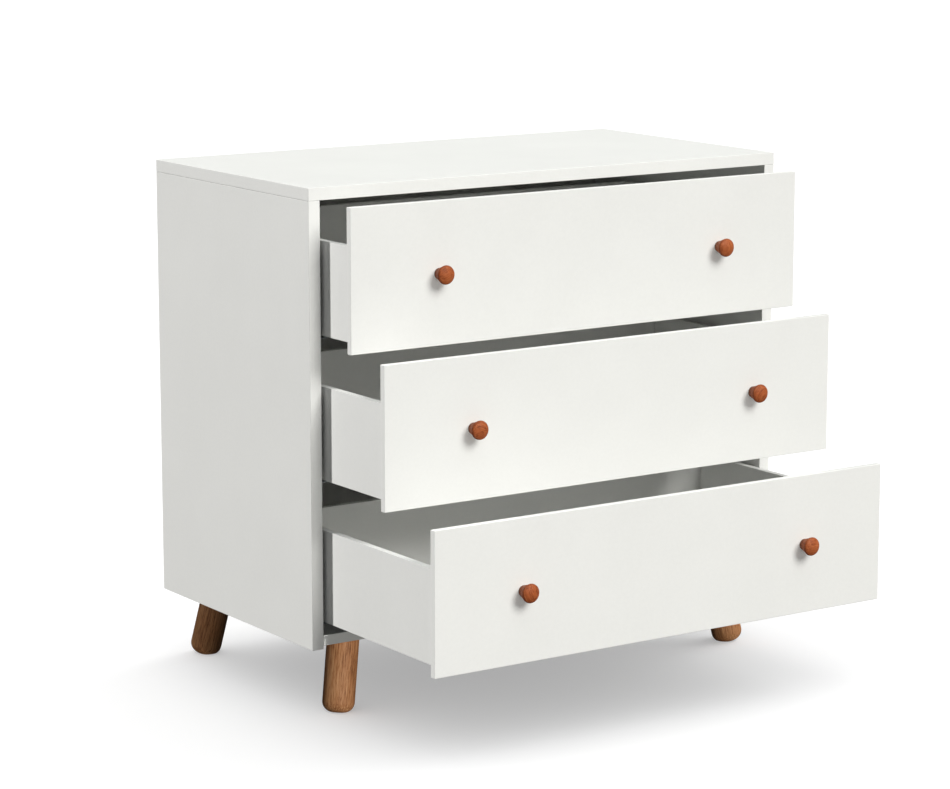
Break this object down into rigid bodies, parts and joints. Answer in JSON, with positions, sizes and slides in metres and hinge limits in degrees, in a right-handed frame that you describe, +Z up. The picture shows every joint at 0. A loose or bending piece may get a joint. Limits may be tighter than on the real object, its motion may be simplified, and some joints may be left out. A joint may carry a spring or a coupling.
{
  "type": "chest of drawers",
  "caption": "White lacquered chest of drawers: inset fronts with turned wooden knobs, full-extension runners, splayed turned wooden legs.",
  "frame": {"origin": "on the floor, at the centre of the box around the chest as it stands, drawers open as stored", "axes": "+X to the chest's right as seen from its front, along its width; +Y to the back; +Z up. The drawers pull out along -Y"},
  "size_m": [1, 0.905, 0.922],
  "materials": {
    "cabinet_white": "white lacquered board, satin",
    "drawer_box_white": "white foiled board, satin",
    "back_board_white": "thin white-faced fibreboard, matt",
    "leg_wood": "turned hardwood, oiled walnut tone, fine straight grain",
    "knob_wood": "turned hardwood, oiled red-brown",
    "zinc_steel": "zinc-plated sheet and fasteners"
  },
  "bodies": {
    "cabinet": {"top_panel": "cabinet_white", "left_side_panel": "cabinet_white", "right_side_panel": "cabinet_white", "bottom_panel": "cabinet_white", "back_panel": "back_board_white", "leg_front_left": "leg_wood", "leg_bolt_front_left": "zinc_steel", "leg_front_right": "leg_wood", "leg_bolt_front_right": "zinc_steel", "leg_rear_left": "leg_wood", "leg_bolt_rear_left": "zinc_steel", "leg_rear_right": "leg_wood", "leg_bolt_rear_right": "zinc_steel", "top_drawer_left_cabinet_rail": "zinc_steel", "top_drawer_right_cabinet_rail": "zinc_steel", "middle_drawer_left_cabinet_rail": "zinc_steel", "middle_drawer_right_cabinet_rail": "zinc_steel", "bottom_drawer_left_cabinet_rail": "zinc_steel", "bottom_drawer_right_cabinet_rail": "zinc_steel"},
    "top_drawer": {"top_drawer_front": "cabinet_white", "top_drawer_back": "drawer_box_white", "top_drawer_bottom": "drawer_box_white", "top_drawer_left_side": "drawer_box_white", "top_drawer_left_knob": "knob_wood", "top_drawer_left_knob_screw": "zinc_steel", "top_drawer_left_drawer_rail": "zinc_steel", "top_drawer_right_side": "drawer_box_white", "top_drawer_right_knob": "knob_wood", "top_drawer_right_knob_screw": "zinc_steel", "top_drawer_right_drawer_rail": "zinc_steel"},
    "top_runner_middle_rails": {"top_drawer_left_middle_rail": "zinc_steel", "top_drawer_right_middle_rail": "zinc_steel"},
    "middle_drawer": {"middle_drawer_front": "cabinet_white", "middle_drawer_back": "drawer_box_white", "middle_drawer_bottom": "drawer_box_white", "middle_drawer_left_side": "drawer_box_white", "middle_drawer_left_knob": "knob_wood", "middle_drawer_left_knob_screw": "zinc_steel", "middle_drawer_left_drawer_rail": "zinc_steel", "middle_drawer_right_side": "drawer_box_white", "middle_drawer_right_knob": "knob_wood", "middle_drawer_right_knob_screw": "zinc_steel", "middle_drawer_right_drawer_rail": "zinc_steel"},
    "middle_runner_middle_rails": {"middle_drawer_left_middle_rail": "zinc_steel", "middle_drawer_right_middle_rail": "zinc_steel"},
    "bottom_drawer": {"bottom_drawer_front": "cabinet_white", "bottom_drawer_back": "drawer_box_white", "bottom_drawer_bottom": "drawer_box_white", "bottom_drawer_left_side": "drawer_box_white", "bottom_drawer_left_knob": "knob_wood", "bottom_drawer_left_knob_screw": "zinc_steel", "bottom_drawer_left_drawer_rail": "zinc_steel", "bottom_drawer_right_side": "drawer_box_white", "bottom_drawer_right_knob": "knob_wood", "bottom_drawer_right_knob_screw": "zinc_steel", "bottom_drawer_right_drawer_rail": "zinc_steel"},
    "bottom_runner_middle_rails": {"bottom_drawer_left_middle_rail": "zinc_steel", "bottom_drawer_right_middle_rail": "zinc_steel"}
  },
  "joints": [
    {"name": "top_drawer_slide", "type": "slide", "parent": "cabinet", "child": "top_drawer", "axis": [0, -1, 0], "range_m": [-0.092, 0.338]},
    {"name": "top_middle_rails_slide", "type": "slide", "parent": "cabinet", "child": "top_runner_middle_rails", "axis": [0, -1, 0], "range_m": [-0.046, 0.169]},
    {"name": "middle_drawer_slide", "type": "slide", "parent": "cabinet", "child": "middle_drawer", "axis": [0, -1, 0], "range_m": [-0.194, 0.236]},
    {"name": "middle_middle_rails_slide", "type": "slide", "parent": "cabinet", "child": "middle_runner_middle_rails", "axis": [0, -1, 0], "range_m": [-0.097, 0.118]},
    {"name": "bottom_drawer_slide", "type": "slide", "parent": "cabinet", "child": "bottom_drawer", "axis": [0, -1, 0], "range_m": [-0.343, 0.087]},
    {"name": "bottom_middle_rails_slide", "type": "slide", "parent": "cabinet", "child": "bottom_runner_middle_rails", "axis": [0, -1, 0], "range_m": [-0.1715, 0.0435]}
  ],
  "couplings": [
    {"joint": "top_middle_rails_slide", "follows": "top_drawer_slide", "ratio": 0.5},
    {"joint": "middle_middle_rails_slide", "follows": "middle_drawer_slide", "ratio": 0.5},
    {"joint": "bottom_middle_rails_slide", "follows": "bottom_drawer_slide", "ratio": 0.5}
  ]
}
